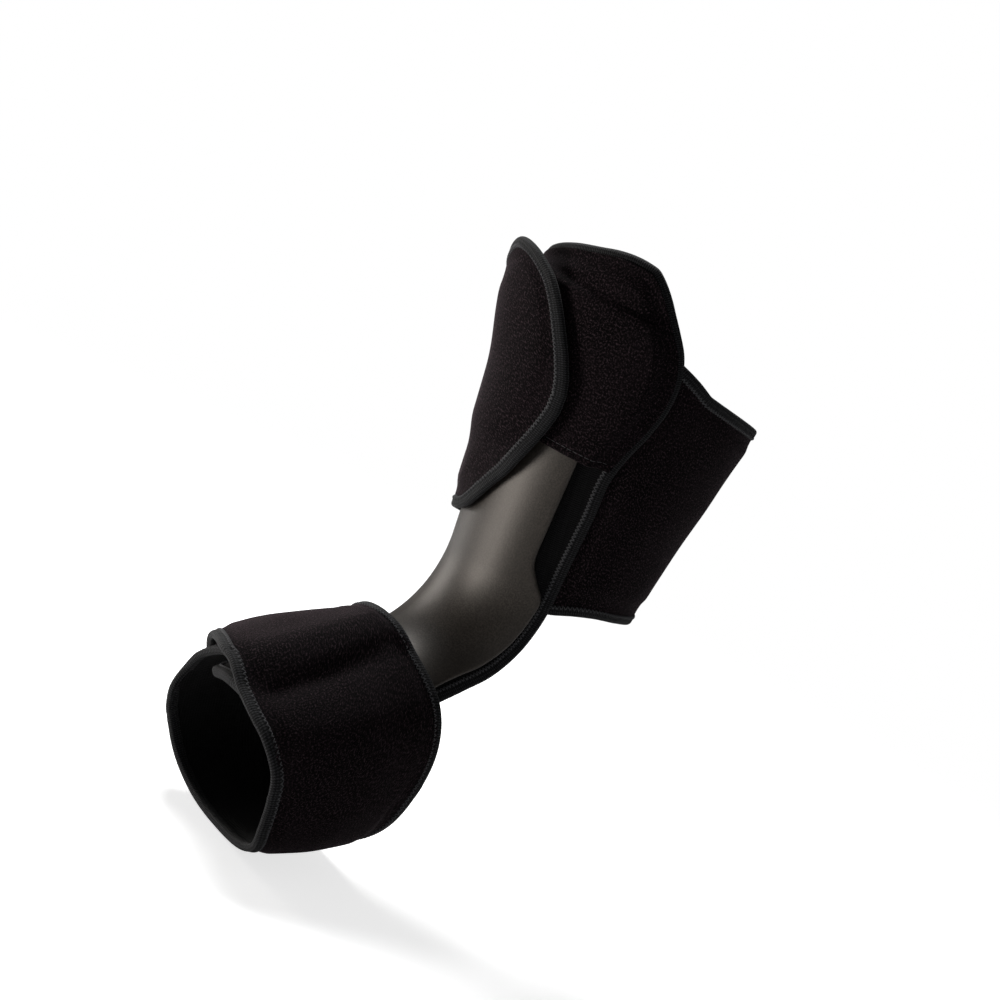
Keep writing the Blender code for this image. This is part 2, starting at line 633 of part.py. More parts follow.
def build():
    for old in list(bpy.data.objects):
        bpy.data.objects.remove(old)
    shell = make_material("shell_plastic", (0.060, 0.057, 0.052), 0.42)
    knit = make_material("liner_knit", (0.012, 0.012, 0.013), 0.85)
    tape = make_material("binding_tape", (0.016, 0.017, 0.019), 0.75)
    velour = make_material("brushed_velour", (0.012, 0.010, 0.011), 0.95)
    hook = make_material("hook_tape", (0.010, 0.010, 0.010), 0.60)
    make_liner(knit)
    make_liner_binding(tape)
    make_shell(shell)
    make_cover(velour)
    make_calf_wrap(velour, tape)
    make_foot_wrap(velour, tape)
    make_hook_patch("calf_hook_patch", CALF_HOOK, CALF_HOOK_HEIGHT, hook)
    make_hook_patch("foot_hook_patch", FOOT_HOOK, FOOT_HOOK_HEIGHT, hook)


build()
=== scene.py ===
from math import atan, pi, radians, tan

import bmesh
import bpy
import numpy as np
from mathutils import Matrix, Vector


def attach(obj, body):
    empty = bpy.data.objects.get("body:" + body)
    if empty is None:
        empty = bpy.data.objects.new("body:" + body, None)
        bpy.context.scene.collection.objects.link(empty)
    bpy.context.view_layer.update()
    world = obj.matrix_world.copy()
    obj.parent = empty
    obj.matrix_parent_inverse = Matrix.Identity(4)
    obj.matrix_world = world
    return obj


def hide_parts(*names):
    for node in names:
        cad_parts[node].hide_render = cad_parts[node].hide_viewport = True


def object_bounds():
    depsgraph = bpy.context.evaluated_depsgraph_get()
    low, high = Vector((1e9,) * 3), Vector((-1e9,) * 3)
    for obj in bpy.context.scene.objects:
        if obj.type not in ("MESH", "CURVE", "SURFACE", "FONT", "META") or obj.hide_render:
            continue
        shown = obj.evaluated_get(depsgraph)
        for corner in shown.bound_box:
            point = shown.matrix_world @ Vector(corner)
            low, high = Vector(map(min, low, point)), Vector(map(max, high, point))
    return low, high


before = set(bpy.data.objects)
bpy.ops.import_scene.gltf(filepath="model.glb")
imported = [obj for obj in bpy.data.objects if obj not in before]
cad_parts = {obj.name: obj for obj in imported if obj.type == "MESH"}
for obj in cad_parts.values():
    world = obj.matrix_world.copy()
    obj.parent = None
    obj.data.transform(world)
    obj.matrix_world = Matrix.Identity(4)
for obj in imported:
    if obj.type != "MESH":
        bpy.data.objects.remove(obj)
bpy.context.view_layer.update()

print("frame loaded")

mm = 0.001

# The hollow that the splint closes round: places on it are a distance along its front midline
# from the bend, and an angle round it, positive towards the inner side
hollow = {
    "shinLength": 204 * mm,
    "footLength": 122 * mm,
    "bendRadius": 62 * mm,
    "shinLean": 9.0,
    "footSlope": 20.0,
    "footTilt": 12.0,
    "calfSize": (116 * mm, 130 * mm),
    "bendSize": (76 * mm, 84 * mm),
    "footSize": (98 * mm, 78 * mm),
    # station, size, then inner and outer width, front and back depth as shares of it, and three roundness powers
    "sections": [
        (-1.23, "footSize", 0.47, 0.37, 0.49, 0.27, 2.4, 1.6, 2.4),
        (-0.90, "footSize", 0.50, 0.44, 0.51, 0.35, 2.4, 1.75, 2.4),
        (-0.57, "footSize", 0.48, 0.48, 0.56, 0.43, 2.4, 2.2, 2.3),
        (-0.25, "footSize", 0.42, 0.42, 0.56, 0.48, 2.2, 2.2, 2.2),
        (0.05, "bendSize", 0.50, 0.50, 0.50, 0.50, 2.0, 2.0, 2.0),
        (0.245, "calfSize", 0.345, 0.33, 0.323, 0.385, 2.0, 2.0, 2.0),
        (0.54, "calfSize", 0.414, 0.372, 0.354, 0.487, 2.0, 2.0, 2.0),
        (0.785, "calfSize", 0.466, 0.455, 0.385, 0.577, 2.0, 2.0, 2.0),
        (1.03, "calfSize", 0.50, 0.50, 0.415, 0.620, 2.0, 2.0, 2.0),
    ],
}

# Thicknesses and the heights of the layers over the hollow
layers = {
    "gap": 0.35 * mm,
    "liner": 6.0 * mm,
    "linerEdge": 4.2 * mm,
    "linerTape": 5.0 * mm,
    "shell": 2.6 * mm,
    "cover": 2.0 * mm,
    "wrap": 4.6 * mm,
    "wrapEdge": 3.0 * mm,
    "wrapTape": 3.8 * mm,
    "wrapStart": 2.6 * mm,
    "hook": 1.2 * mm,
    "edgeRoll": 8.0 * mm,
}
layers["shellAt"] = layers["liner"] + 2 * layers["gap"]
layers["coverAt"] = layers["shellAt"] + layers["shell"] + 1.6 * layers["gap"]
layers["flapAt"] = layers["coverAt"] + layers["cover"] + layers["hook"] + 2.8 * layers["gap"]
layers["underAt"] = layers["shellAt"] + layers["shell"] + 2 * layers["gap"]
layers["upperAt"] = layers["underAt"] + layers["wrap"] + layers["hook"] + 4.2 * layers["gap"]


def smoothThrough(knots, values, at):
    # a smooth curve through a table's values
    slopes = np.gradient(values, knots)
    at = np.clip(at, knots[0], knots[-1])
    cell = np.clip(np.searchsorted(knots, at) - 1, 0, len(knots) - 2)
    span = knots[cell + 1] - knots[cell]
    t = (at - knots[cell]) / span
    return (
        (2 * t**3 - 3 * t**2 + 1) * values[cell]
        + (t**3 - 2 * t**2 + t) * span * slopes[cell]
        + (3 * t**2 - 2 * t**3) * values[cell + 1]
        + (t**3 - t**2) * span * slopes[cell + 1]
    )


def reach(station):
    # distance along the midline, from the share of the shin's or the foot's length
    station = np.asarray(station, float)
    return station * np.where(station > 0, hollow["shinLength"], hollow["footLength"])


def ease(share):
    share = np.clip(share, 0, 1)
    return share * share * (3 - 2 * share)


def sectionTable():
    rows = []
    for station, size, inner, outer, front, back, *powers in hollow["sections"]:
        width, depth = hollow[size]
        rows.append([float(reach(station)), inner * width, outer * width, front * depth, back * depth, *powers])
    return np.array(rows)


sections = sectionTable()


def sectionAt(column, along):
    return smoothThrough(sections[:, 0], sections[:, column], along)


def midline(along):
    # points (y, z) of the front midline, and the way each cross-section faces
    shin, foot = radians(90 + hollow["shinLean"]), radians(hollow["footSlope"])
    halfArc = hollow["bendRadius"] * (shin - foot) / 2
    inBend = np.clip(along, -halfArc, halfArc)
    middle = (shin + foot) / 2
    heading = middle + inBend / hollow["bendRadius"]
    centre = hollow["bendRadius"] * np.array([-np.sin(middle), np.cos(middle)])
    point = centre - hollow["bendRadius"] * np.stack([-np.sin(heading), np.cos(heading)], -1)
    point = point + (along - inBend)[..., None] * np.stack([np.cos(heading), np.sin(heading)], -1)
    tilt = radians(hollow["footTilt"])
    tilt = tilt + (inBend + halfArc) / (2 * halfArc) * (pi / 2 - tilt)
    return point, np.stack([-np.sin(tilt), np.cos(tilt)], -1)


def onHollow(along, angle):
    along, angle = np.broadcast_arrays(np.asarray(along, float), np.asarray(angle, float))
    point, facing = midline(along)
    cosine, sine = np.cos(np.radians(angle)), np.sin(np.radians(angle))
    outerSide, atBack = sine < 0, cosine < 0
    width = np.where(outerSide, sectionAt(2, along), sectionAt(1, along))
    front = sectionAt(3, along)
    depth = np.where(atBack, sectionAt(4, along), front)
    frontPower = np.where(outerSide, sectionAt(6, along), sectionAt(5, along))
    power = 2 / np.where(atBack, sectionAt(7, along), frontPower)
    across = width * np.sign(sine) * np.abs(sine) ** power
    out = depth * np.sign(cosine) * np.abs(cosine) ** power - front
    return np.stack([across, point[..., 0] + facing[..., 0] * out, point[..., 1] + facing[..., 1] * out], -1)


def slopes(along, angle):
    # how a point on the hollow moves per metre along it and per degree round it
    stepAlong, stepAngle = 0.5 * mm, 0.5
    lengthwise = onHollow(along + stepAlong, angle) - onHollow(along - stepAlong, angle)
    roundwise = onHollow(along, angle + stepAngle) - onHollow(along, angle - stepAngle)
    return lengthwise / (2 * stepAlong), roundwise / (2 * stepAngle)


def above(along, angle, height):
    # points at a height over the hollow, square to it
    along, angle, height = np.broadcast_arrays(*(np.asarray(v, float) for v in (along, angle, height)))
    lengthwise, roundwise = slopes(along, angle)
    normal = np.cross(roundwise, lengthwise)
    normal /= np.linalg.norm(normal, axis=-1, keepdims=True)
    return onHollow(along, angle) + height[..., None] * normal


def insetPath(along, angle, distance, closed):
    # a path moved inwards over the surface
    if closed:
        stepAlong = np.roll(along, -1) - np.roll(along, 1)
        stepAngle = np.roll(angle, -1) - np.roll(angle, 1)
    else:
        stepAlong, stepAngle = np.gradient(along), np.gradient(angle)
    lengthwise, roundwise = slopes(along, angle)
    longLong = (lengthwise**2).sum(-1)
    longRound = (lengthwise * roundwise).sum(-1)
    roundRound = (roundwise**2).sum(-1)
    inAlong = stepAlong * longRound + stepAngle * roundRound
    inAngle = -(stepAlong * longLong + stepAngle * longRound)
    size = np.sqrt(longLong * inAlong**2 + 2 * longRound * inAlong * inAngle + roundRound * inAngle**2)
    return along + inAlong / size * distance, angle + inAngle / size * distance


def distanceTo(along, angle, pathAlong, pathAngle):
    # rough distance over the surface from points to a path
    def flat(a, g):
        return np.stack([a, np.radians(g) * sectionAt(1, a)], -1)

    path = flat(pathAlong, pathAngle)
    start, run = path[:-1], path[1:] - path[:-1]
    runSquare = np.maximum((run**2).sum(-1), 1e-12)
    nearest = []
    for rowAlong, rowAngle in zip(along, angle):
        point = flat(rowAlong, rowAngle)[:, None, :]
        share = np.clip(((point - start) * run).sum(-1) / runSquare, 0, 1)
        nearest.append(np.linalg.norm(point - start - share[..., None] * run, axis=-1).min(-1))
    return np.array(nearest)


def resampled(along, angle, step, closed):
    # the same path with points at even distances
    if closed:
        along, angle = (np.concatenate([v[-4:], v, v[:5]]) for v in (along, angle))
    points = onHollow(along, angle)
    length = np.concatenate([[0], np.cumsum(np.linalg.norm(np.diff(points, axis=0), axis=1))])
    first, last = (length[4], length[-5]) if closed else (0, length[-1])
    count = int(round((last - first) / step))
    at = first + (last - first) * np.arange(count + (not closed)) / count
    return smoothThrough(length, along, at), smoothThrough(length, angle, at)


def finer(values, parts):
    # each step of a list cut in even parts
    return np.interp(np.arange((len(values) - 1) * parts + 1) / parts, np.arange(len(values)), values)


def smoother(values, parts):
    at = np.arange((len(values) - 1) * parts + 1) / parts
    return smoothThrough(np.arange(len(values), dtype=float), np.asarray(values, float), at)


def ripple(along, angle, wave, seed):
    # gentle unevenness of soft cloth, from minus one to one
    rng = np.random.default_rng(seed)
    total = np.zeros(np.broadcast(along, angle).shape)
    for _ in range(7):
        turn, phase = rng.uniform(0, 2 * pi, 2)
        stretch = rng.uniform(0.7, 1.5)
        place = np.cos(turn) * along + np.sin(turn) * np.radians(angle) * 50 * mm
        total += np.sin(2 * pi * place / (wave * stretch) + phase)
    return total / 4


def tube(name, points, up, radius, sides, closed, material):
    # a round thread along points
    ahead = np.roll(points, -1, 0) - np.roll(points, 1, 0) if closed else np.gradient(points, axis=0)
    ahead /= np.linalg.norm(ahead, axis=1, keepdims=True)
    side = np.cross(ahead, up)
    side /= np.linalg.norm(side, axis=1, keepdims=True)
    top = np.cross(side, ahead)
    turn = 2 * pi * np.arange(sides + 1) / sides
    rings = points[:, None] + radius * (
        side[:, None] * np.cos(turn)[:, None] + top[:, None] * np.sin(turn)[:, None]
    )
    if closed:
        rings = np.concatenate([rings, rings[:1]])
    bm = bmesh.new()
    layGrid(bm, rings)
    closeUp(bm)
    return finishPiece(name, bm, [material])


def layGrid(bm, points):
    rows, columns = points.shape[:2]
    made = bmesh.ops.create_grid(bm, x_segments=columns - 1, y_segments=rows - 1, size=1)
    for vert, point in zip(made["verts"], points.reshape(-1, 3).tolist()):
        vert.co = point


def closeUp(bm):
    bmesh.ops.remove_doubles(bm, verts=bm.verts, dist=0.001 * mm)
    bmesh.ops.holes_fill(bm, edges=[edge for edge in bm.edges if edge.is_boundary])


def finishPiece(name, bm, materials):
    bmesh.ops.recalc_face_normals(bm, faces=bm.faces)
    mesh = bpy.data.meshes.new(name)
    bm.to_mesh(mesh)
    bm.free()
    for material in materials:
        mesh.materials.append(material)
    mesh.shade_smooth()
    piece = bpy.data.objects.new(name, mesh)
    bpy.context.scene.collection.objects.link(piece)
    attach(piece, "root")
    print(name, len(mesh.vertices), "points")
    return piece


def paintCloth(bm, place, across, length):
    # UV places in metres, so that ribs and knit follow the cloth
    uv = bm.loops.layers.uv.new("cloth")
    across, length = across.ravel().tolist(), length.ravel().tolist()
    for face in bm.faces:
        for loop in face.loops:
            index = loop.vert[place]
            loop[uv].uv = (across[index], length[index])


def panel(name, along, angle, inner, outer, materials):
    # a closed wall between two heights; the second material is its inner face
    bm = bmesh.new()
    layGrid(bm, above(along, angle, inner))
    place = bm.verts.layers.int.new("place")
    for index, vert in enumerate(bm.verts):
        vert[place] = index
    extruded = bmesh.ops.extrude_face_region(bm, geom=bm.faces[:])
    top = above(along, angle, outer).reshape(-1, 3).tolist()
    raised = set()
    for vert in (part for part in extruded["geom"] if isinstance(part, bmesh.types.BMVert)):
        vert.co = top[vert[place]]
        raised.add(vert)
    for face in bm.faces:
        face.material_index = 0 if len(materials) == 1 or raised.intersection(face.verts) else 1
    paintCloth(bm, place, np.radians(angle) * sectionAt(1, along), along)
    return finishPiece(name, bm, materials)


# Bound edges: a knitted tape folded over the padded edge and sewn down with a zigzag
tape = {
    "width": 5.2 * mm,
    "step": 0.8 * mm,
    "nose": 1.7 * mm,
    "lip": 0.45 * mm,
    "stitchPitch": 1.9 * mm,
    "stitchInner": 5.5 * mm,
    "stitchOuter": 3.9 * mm,
    "thread": 0.30 * mm,
    "pucker": 0.13 * mm,
    "waver": 0.22 * mm,
}


def tapeProfile(bottom, top):
    # depth from the edge and height of each point round the tape
    thick = top - bottom
    nose = np.minimum(tape["nose"], thick / 2)
    turn = np.radians(np.linspace(0, 90, 5))
    width, lip = tape["width"], tape["lip"]
    depth, height = [], []
    for d, h in [(width + 0.1 * mm, lip * 1.7), (width - 0.1 * mm, lip * 0.5), (width - 0.6 * mm, 0), (width * 0.55, 0)]:
        depth.append(d + 0 * thick)
        height.append(top - h)
    for t in turn:
        depth.append(nose * (1 - np.sin(t)))
        height.append(top - nose * (1 - np.cos(t)))
    for t in turn[::-1]:
        depth.append(nose * (1 - np.sin(t)))
        height.append(bottom + nose * (1 - np.cos(t)))
    for d, h in [(width * 0.55, 0), (width - 0.6 * mm, 0), (width - 0.1 * mm, lip * 0.5), (width + 0.1 * mm, lip * 1.7)]:
        depth.append(d + 0 * thick)
        height.append(bottom + h)
    return np.array(depth), np.array(height)


def bindEdge(name, along, angle, bottomAt, thick, closed, seed, materials):
    along, angle = resampled(along, angle, tape["step"], closed)
    bottom = bottomAt(along, angle)
    run = tape["step"] * np.arange(len(along))
    waver = tape["waver"] * ripple(along * 6, angle * 6, 60 * mm, seed)
    depth, height = tapeProfile(bottom, bottom + thick)
    inwards = np.clip(depth / tape["width"], 0, 1)
    depth = depth + waver * inwards
    middle = bottom + thick / 2
    swell = 1 + tape["pucker"] / (thick / 2) * np.sin(2 * pi * run / tape["stitchPitch"]) * inwards
    height = middle + (height - middle) * swell
    lines = [above(*insetPath(along, angle, d, closed), h) for d, h in zip(depth, height)]
    lines.append(lines[0])
    if closed:
        lines = [np.concatenate([line, line[:1]]) for line in lines]
        run = np.append(run, run[-1] + tape["step"])
    rings = np.stack(lines, axis=1)
    bm = bmesh.new()
    layGrid(bm, rings)
    place = bm.verts.layers.int.new("place")
    for index, vert in enumerate(bm.verts):
        vert[place] = index
    around = np.linalg.norm(np.diff(rings, axis=1), axis=2).cumsum(axis=1)
    around = np.concatenate([np.zeros((len(rings), 1)), around], axis=1)
    paintCloth(bm, place, around, np.repeat(run[:, None], rings.shape[1], axis=1))
    closeUp(bm)
    piece = finishPiece(name, bm, materials[:1])
    stitch = zigzag(name + "_stitches", along, angle, bottom + thick, closed, materials[1])
    return piece, stitch


def zigzag(name, along, angle, top, closed, material):
    # thread that crosses the tape's inner edge from side to side
    perLeg = 4
    alongFine, angleFine = resampled(along, angle, tape["stitchPitch"] / 2 / perLeg, closed)
    share = np.arange(len(alongFine)) / perLeg
    wave = np.abs((share + 1) % 2 - 1)
    depth = tape["stitchOuter"] + (tape["stitchInner"] - tape["stitchOuter"]) * wave
    level = np.interp(np.linspace(0, 1, len(alongFine)), np.linspace(0, 1, len(top)), top)
    dip = tape["thread"] * 0.6 - tape["lip"] * 1.9 * ease((depth - tape["width"] + 0.7 * mm) / (1.0 * mm))
    dip = dip - 0.5 * tape["thread"] * ease((tape["stitchOuter"] + 0.5 * mm - depth) / (0.5 * mm))
    a, g = insetPathBy(alongFine, angleFine, depth, closed)
    points = above(a, g, level + dip)
    up = above(a, g, level + mm) - above(a, g, level)
    return tube(name, points, up / mm, tape["thread"], 5, closed, material)


def insetPathBy(along, angle, depth, closed):
    nearAlong, nearAngle = insetPath(along, angle, mm, closed)
    return along + (nearAlong - along) * depth / mm, angle + (nearAngle - angle) * depth / mm


# Materials
def makeGroup(name, inputs, outputs):
    group = bpy.data.node_groups.new(name, "ShaderNodeTree")
    for label, kind, value in inputs:
        socket = group.interface.new_socket(label, in_out="INPUT", socket_type=kind)
        if value is not None:
            socket.default_value = value
    for label in outputs:
        group.interface.new_socket(label, in_out="OUTPUT", socket_type="NodeSocketFloat")
    return group, group.nodes.new("NodeGroupInput"), group.nodes.new("NodeGroupOutput")


def node(tree, kind, links=(), **settings):
    made = tree.nodes.new(kind)
    for name, value in settings.items():
        setattr(made, name, value)
    for socket, value in links:
        if isinstance(value, bpy.types.NodeSocket):
            tree.links.new(value, made.inputs[socket])
        else:
            made.inputs[socket].default_value = value
    return made


def math(tree, operation, *values):
    return node(tree, "ShaderNodeMath", list(enumerate(values)), operation=operation).outputs[0]


def noise(tree, vector, scale, detail=2.0, roughness=0.5):
    made = node(tree, "ShaderNodeTexNoise", [("Vector", vector), ("Scale", scale), ("Detail", detail),
                                             ("Roughness", roughness)])
    return made.outputs["Fac"]


def between(tree, value, low, high):
    made = node(tree, "ShaderNodeMapRange", [("Value", value), ("From Min", low), ("From Max", high)],
                interpolation_type="SMOOTHSTEP")
    return made.outputs["Result"]


def pileGroup():
    # brushed loop cloth: bright tufts, their relief, and slow patches where the pile lies another way
    group, start, end = makeGroup("loopPile", [("Position", "NodeSocketVector", None), ("Place", "NodeSocketVector", None),
                                               ("Scale", "NodeSocketFloat", 850.0)], ["Tufts", "Patches", "Relief"])
    position, scale = start.outputs["Position"], start.outputs["Scale"]
    drawn = node(group, "ShaderNodeVectorMath", [(0, start.outputs["Place"]), (1, (1.0, 0.7, 1.0))],
                 operation="MULTIPLY").outputs[0]
    coarse = noise(group, drawn, scale, 3.0, 0.62)
    fine = noise(group, drawn, math(group, "MULTIPLY", scale, 2.6), 2.0)
    tufts = between(group, math(group, "MULTIPLY", coarse, math(group, "ADD", fine, 0.5)), 0.48, 0.76)
    patches = between(group, noise(group, position, 42.0, 2.0), 0.3, 0.7)
    group.links.new(tufts, end.inputs["Tufts"])
    group.links.new(patches, end.inputs["Patches"])
    group.links.new(math(group, "ADD", coarse, math(group, "MULTIPLY", fine, 0.6)), end.inputs["Relief"])
    return group


def knitGroup():
    # rows of knit loops over a piece's own cloth places
    group, start, end = makeGroup("knitRows", [("Place", "NodeSocketVector", None),
                                               ("Rows", "NodeSocketFloat", 1000.0),
                                               ("Wales", "NodeSocketFloat", 700.0),
                                               ("Sparse", "NodeSocketFloat", 0.1)], ["Loops", "Relief"])
    parts = node(group, "ShaderNodeSeparateXYZ", [("Vector", start.outputs["Place"])])
    wales = math(group, "SINE", math(group, "MULTIPLY", math(group, "MULTIPLY", parts.outputs["X"], 2 * pi),
                                     start.outputs["Wales"]))
    slant = math(group, "MULTIPLY", math(group, "ABSOLUTE", wales), 1.6)
    rows = math(group, "SINE", math(group, "ADD", math(group, "MULTIPLY",
                math(group, "MULTIPLY", parts.outputs["Y"], 2 * pi), start.outputs["Rows"]), slant))
    uneven = noise(group, start.outputs["Place"], 900.0, 2.0)
    relief = math(group, "ADD", math(group, "MULTIPLY", rows, 0.35), math(group, "MULTIPLY", wales, 0.15))
    relief = math(group, "ADD", relief, math(group, "MULTIPLY", uneven, 0.6))
    group.links.new(between(group, relief, start.outputs["Sparse"], 0.75), end.inputs["Loops"])
    group.links.new(relief, end.inputs["Relief"])
    return group


def grainGroup():
    # fine moulded grain and slow cloudiness
    group, start, end = makeGroup("mouldGrain", [("Position", "NodeSocketVector", None),
                                                 ("Scale", "NodeSocketFloat", 1500.0)], ["Grain", "Clouds"])
    position = start.outputs["Position"]
    grain = noise(group, position, start.outputs["Scale"], 3.0, 0.6)
    clouds = between(group, noise(group, position, 70.0, 3.0), 0.25, 0.75)
    group.links.new(grain, end.inputs["Grain"])
    group.links.new(clouds, end.inputs["Clouds"])
    return group


groups = {"pile": pileGroup(), "knit": knitGroup(), "grain": grainGroup()}


def startMaterial(name, roughness, **sockets):
    material = bpy.data.materials.new(name)
    material.use_nodes = True
    tree = material.node_tree
    shader = tree.nodes["Principled BSDF"]
    shader.inputs["Roughness"].default_value = roughness
    for label, value in sockets.items():
        shader.inputs[label.replace("_", " ")].default_value = value
    return material, tree, shader


def placed(tree, group, unmapped=False, **values):
    # one of the shared groups, fed by the object's place and by the cloth's own UV map
    made = node(tree, "ShaderNodeGroup", node_tree=groups[group])
    if "Position" in made.inputs:
        tree.links.new(node(tree, "ShaderNodeTexCoord").outputs["Object"], made.inputs["Position"])
    if "Place" in made.inputs:
        source = node(tree, "ShaderNodeTexCoord").outputs["Object"] if unmapped else \
            node(tree, "ShaderNodeUVMap", uv_map="cloth").outputs["UV"]
        tree.links.new(source, made.inputs["Place"])
    for label, value in values.items():
        made.inputs[label].default_value = value
    return made.outputs


def mixColor(tree, factor, first, second):
    made = node(tree, "ShaderNodeMix", data_type="RGBA")
    for socket, value in ((0, factor), (6, first), (7, second)):
        if isinstance(value, bpy.types.NodeSocket):
            tree.links.new(value, made.inputs[socket])
        else:
            made.inputs[socket].default_value = value if socket == 0 else (*value, 1)
    return made.outputs[2]


def bump(tree, shader, height, strength, distance):
    made = node(tree, "ShaderNodeBump", [("Height", height), ("Strength", strength), ("Distance", distance)])
    tree.links.new(made.outputs["Normal"], shader.inputs["Normal"])


finish = {
    "velourDark": (0.0006, 0.0004, 0.0005),
    "velourTuft": (0.043, 0.0285, 0.0335),
    "velourLift": (0.0026, 0.0017, 0.0021),
    "liningDark": (0.0008, 0.0008, 0.0009),
    "liningLight": (0.0040, 0.0038, 0.0042),
    "tapeDark": (0.0016, 0.0017, 0.0020),
    "tapeLight": (0.026, 0.026, 0.0285),
    "threadDark": (0.034, 0.0342, 0.0365),
    "threadLight": (0.130, 0.130, 0.135),
    "shellPit": (0.010, 0.0080, 0.0066),
    "shellDark": (0.020, 0.0165, 0.0138),
    "shellLight": (0.030, 0.0250, 0.0208),
    "hookDark": (0.002, 0.002, 0.002),
    "hookLight": (0.012, 0.012, 0.013),
}


def makeVelour():
    material, tree, shader = startMaterial("velour", 0.95, Sheen_Weight=0.085, Sheen_Roughness=0.28,
                                           Sheen_Tint=(0.8, 0.6, 0.68, 1), Specular_IOR_Level=0.06)
    pile = placed(tree, "pile", Scale=1350.0)
    base = mixColor(tree, pile["Patches"], finish["velourDark"], finish["velourLift"])
    tree.links.new(mixColor(tree, pile["Tufts"], base, finish["velourTuft"]), shader.inputs["Base Color"])
    bump(tree, shader, pile["Relief"], 0.65, 0.35 * mm)
    return material


def makeKnit(name, dark, light, roughness, rows, wales, strength, unmapped=False, sparse=0.1, sheen=0.03):
    material, tree, shader = startMaterial(name, roughness, Sheen_Weight=sheen, Specular_IOR_Level=0.1)
    knit = placed(tree, "knit", unmapped, Rows=rows, Wales=wales, Sparse=sparse)
    tree.links.new(mixColor(tree, knit["Loops"], finish[dark], finish[light]), shader.inputs["Base Color"])
    bump(tree, shader, knit["Relief"], strength, 0.3 * mm)
    return material


def makeShellPlastic():
    material, tree, shader = startMaterial("shellPlastic", 0.42, Specular_IOR_Level=0.38, Specular_Tint=(1.0, 0.93, 0.86, 1))
    grain = placed(tree, "grain", Scale=1350.0)
    base = mixColor(tree, grain["Clouds"], finish["shellDark"], finish["shellLight"])
    speck = between(tree, grain["Grain"], 0.36, 0.66)
    tree.links.new(mixColor(tree, speck, finish["shellPit"], base), shader.inputs["Base Color"])
    rough = node(tree, "ShaderNodeMapRange", [("Value", grain["Grain"]), ("To Min", 0.34), ("To Max", 0.50)])
    tree.links.new(rough.outputs["Result"], shader.inputs["Roughness"])
    bump(tree, shader, grain["Grain"], 0.4, 0.16 * mm)
    return material


velour = makeVelour()
lining = makeKnit("wrapLining", "liningDark", "liningLight", 0.85, 620.0, 620.0, 0.5)
linerKnit = makeKnit("linerKnit", "liningDark", "liningLight", 0.8, 1000.0, 350.0, 0.8)
tapeKnit = makeKnit("tapeKnit", "tapeDark", "tapeLight", 0.75, 980.0, 640.0, 0.8, sparse=0.34, sheen=0.05)
thread = makeKnit("thread", "threadDark", "threadLight", 0.7, 900.0, 300.0, 0.5)
hookTape = makeKnit("hookTape", "hookDark", "hookLight", 0.6, 500.0, 500.0, 1.0, unmapped=True)
shellPlastic = makeShellPlastic()
print("materials made")


# Liner: the padded pad that lies under the shell
liner = {
    "columns": 56,
    "rowParts": 5,
    "tuck": 1.6 * mm,
    # station, outer and inner angle of its edge
    "outline": [
        (-0.926, -14.0, 14.0), (-0.914, -24.0, 24.0), (-0.880, -34.0, 34.0), (-0.800, -42.0, 42.0),
        (-0.655, -45.5, 45.5), (-0.490, -46.0, 46.0), (-0.320, -46.0, 46.0), (-0.160, -47.0, 47.0),
        (-0.070, -49.5, 49.5), (0.015, -54.0, 54.0), (0.075, -57.0, 57.0), (0.147, -58.5, 58.5),
        (0.220, -59.0, 59.0), (0.320, -59.5, 59.5), (0.420, -59.5, 59.5), (0.520, -58.5, 58.5),
        (0.580, -60.0, 61.5), (0.650, -63.0, 66.5), (0.720, -65.0, 69.5), (0.785, -64.0, 69.0),
        (0.843, -60.0, 65.0), (0.892, -48.0, 58.0), (0.926, -34.0, 52.5), (0.948, -20.0, 49.0),
        (0.967, -6.0, 45.5), (0.983, 8.0, 42.0), (0.995, 18.0, 38.5), (1.000, 25.0, 33.0),
    ],
}


def edgePath(rows):
    # a front piece's closed edge, up one side and down the other
    rows = np.array(rows)
    along = reach(rows[:, 0])
    return np.concatenate([along, along[::-1]]), np.concatenate([rows[:, 2], rows[::-1, 1]])


def sides(along, angle):
    half = len(along) // 2
    return (along[:half], angle[:half]), (along[:half - 1:-1], angle[:half - 1:-1])


def ring(along, angle):
    return np.append(along, along[0]), np.append(angle, angle[0])


def padding(distance, edge, full):
    return edge + (full - edge) * ease((distance - tape["width"] - layers["gap"]) / layers["edgeRoll"])


def linerHeights(along, angle):
    away = distanceTo(along, angle, *ring(*edgePath(liner["outline"])))
    thickness = padding(away, layers["linerEdge"], layers["liner"])
    squeeze = (layers["liner"] - thickness) / (layers["liner"] - layers["linerEdge"])
    inner = (layers["linerTape"] - layers["linerEdge"]) / 2 * squeeze
    return inner, inner + thickness


def fineSides(rows, tuck, parts):
    inner, outer = sides(*insetPath(*edgePath(rows), tuck, True))
    return [tuple(smoother(v, parts) for v in side) for side in (outer, inner)]


def acrossGrid(first, second, shares):
    along = first[0][:, None] + (second[0] - first[0])[:, None] * shares
    angle = first[1][:, None] + (second[1] - first[1])[:, None] * shares
    return along, angle


def makeLiner():
    outer, inner = fineSides(liner["outline"], liner["tuck"], liner["rowParts"])
    along, angle = acrossGrid(outer, inner, np.linspace(0, 1, liner["columns"]))
    low, high = linerHeights(along, angle)
    piece = panel("liner_pad", along, angle, low, high, [linerKnit])
    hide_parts("liner")
    binding, stitches = bindEdge("liner_edge_tape", *edgePath(liner["outline"]), lambda a, g: 0 * a,
                                 layers["linerTape"], True, 11, [tapeKnit, thread])
    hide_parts("liner_binding")


